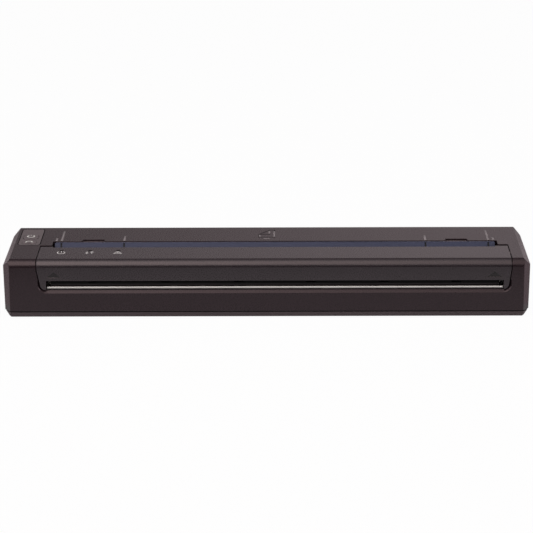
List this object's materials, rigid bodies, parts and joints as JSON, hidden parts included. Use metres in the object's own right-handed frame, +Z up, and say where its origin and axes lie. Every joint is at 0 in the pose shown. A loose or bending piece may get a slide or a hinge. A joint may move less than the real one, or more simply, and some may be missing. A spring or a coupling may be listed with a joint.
{
  "type": "portable thermal printer",
  "caption": "Slim rectangular portable thermal printer with a hinged platen cover, top paper feed, front exit slot, two keys and a rear battery door.",
  "frame": {"origin": "on the surface that the printer stands on, under the middle of its case", "axes": "+X to the right along the printer's length, +Y to its back, +Z up"},
  "size_m": [0.255, 0.055, 0.0304],
  "materials": {
    "housing_plastic": "fine moulded texture, warm dark grey",
    "cover_plastic": "fine moulded texture, warm dark grey, a little lighter",
    "keypad_plastic": "satin warm grey",
    "guide_plastic": "satin grey-blue",
    "black_plastic": "matt black",
    "gear_plastic": "natural acetal",
    "lens_plastic": "smoked clear",
    "foot_rubber": "matt black rubber",
    "platen_rubber": "ground black rubber",
    "sheet_steel": "plated sheet",
    "bright_steel": "ground steel",
    "screw_steel": "dark plated",
    "heat_sink_aluminium": "plain extruded",
    "head_ceramic": "glazed strip",
    "bushing_brass": "sintered",
    "circuit_board": "green solder mask",
    "cable_film": "polyimide film",
    "battery_wrap": "shrink film"
  },
  "bodies": {
    "base": {"main_housing": "housing_plastic", "base_tray": "housing_plastic", "rubber_feet": "foot_rubber", "case_screws": "screw_steel", "feed_guide": "guide_plastic", "tear_bar": "bright_steel", "exit_guide": "black_plastic", "left_side_frame": "sheet_steel", "right_side_frame": "sheet_steel", "head_bracket": "sheet_steel", "bracket_screws": "screw_steel", "head_pivot_rod": "bright_steel", "head_springs": "bright_steel", "head_cable": "cable_film", "idler_stud": "bright_steel", "drive_motor": "sheet_steel", "hinge_pins": "bright_steel", "keypad_plate": "keypad_plastic", "switch_board": "circuit_board", "tact_switches": "black_plastic", "main_board": "circuit_board", "board_components": "black_plastic", "usb_socket": "sheet_steel", "power_jack": "black_plastic", "battery_pack": "battery_wrap", "battery_contacts": "bushing_brass"},
    "cover": {"release_cover": "cover_plastic", "light_guides": "lens_plastic", "indicator_board": "circuit_board", "platen_bushings": "bushing_brass"},
    "platen": {"platen_shaft": "bright_steel", "platen_rubber": "platen_rubber", "platen_gear": "gear_plastic"},
    "idler": {"idler_gear": "gear_plastic"},
    "motor_rotor": {"motor_pinion": "bushing_brass"},
    "print_head": {"heat_sink": "heat_sink_aluminium", "head_strip": "head_ceramic"},
    "door": {"battery_door": "housing_plastic"},
    "power_key": {"power_button": "keypad_plastic"},
    "feed_key": {"feed_button": "keypad_plastic"}
  },
  "joints": [
    {"name": "cover_hinge", "type": "hinge", "parent": "base", "child": "cover", "pos_m": [0, -0.0085, 0.0269], "axis": [-1, 0, 0], "range_deg": [0, 80]},
    {"name": "platen_spin", "type": "hinge", "parent": "cover", "child": "platen", "pos_m": [0, -0.0165, 0.0228], "axis": [1, 0, 0], "continuous": true},
    {"name": "idler_spin", "type": "hinge", "parent": "base", "child": "idler", "pos_m": [0, -0.00772, 0.01462], "axis": [1, 0, 0], "continuous": true},
    {"name": "motor_spin", "type": "hinge", "parent": "base", "child": "motor_rotor", "pos_m": [0, 0.00224, 0.01549], "axis": [1, 0, 0], "continuous": true},
    {"name": "head_tilt", "type": "hinge", "parent": "base", "child": "print_head", "pos_m": [0, -0.0106, 0.0137], "axis": [1, 0, 0], "range_deg": [0, 1.2], "stiffness_Nm_per_rad": 3, "springref_deg": -11.46, "deforming": ["head_springs"]},
    {"name": "battery_door_hinge", "type": "hinge", "parent": "base", "child": "door", "pos_m": [0, 0.0262, 0.007], "axis": [-1, 0, 0], "range_deg": [0, 85]},
    {"name": "power_key_press", "type": "slide", "parent": "base", "child": "power_key", "axis": [0, 0, -1], "range_m": [0, 0.0004], "stiffness_N_per_m": 400, "springref_m": -0.001},
    {"name": "feed_key_press", "type": "slide", "parent": "base", "child": "feed_key", "axis": [0, 0, -1], "range_m": [0, 0.0004], "stiffness_N_per_m": 400, "springref_m": -0.001}
  ],
  "couplings": [
    {"joint": "idler_spin", "follows": "platen_spin", "ratio": -0.71429},
    {"joint": "motor_spin", "follows": "platen_spin", "ratio": 1.6667}
  ]
}
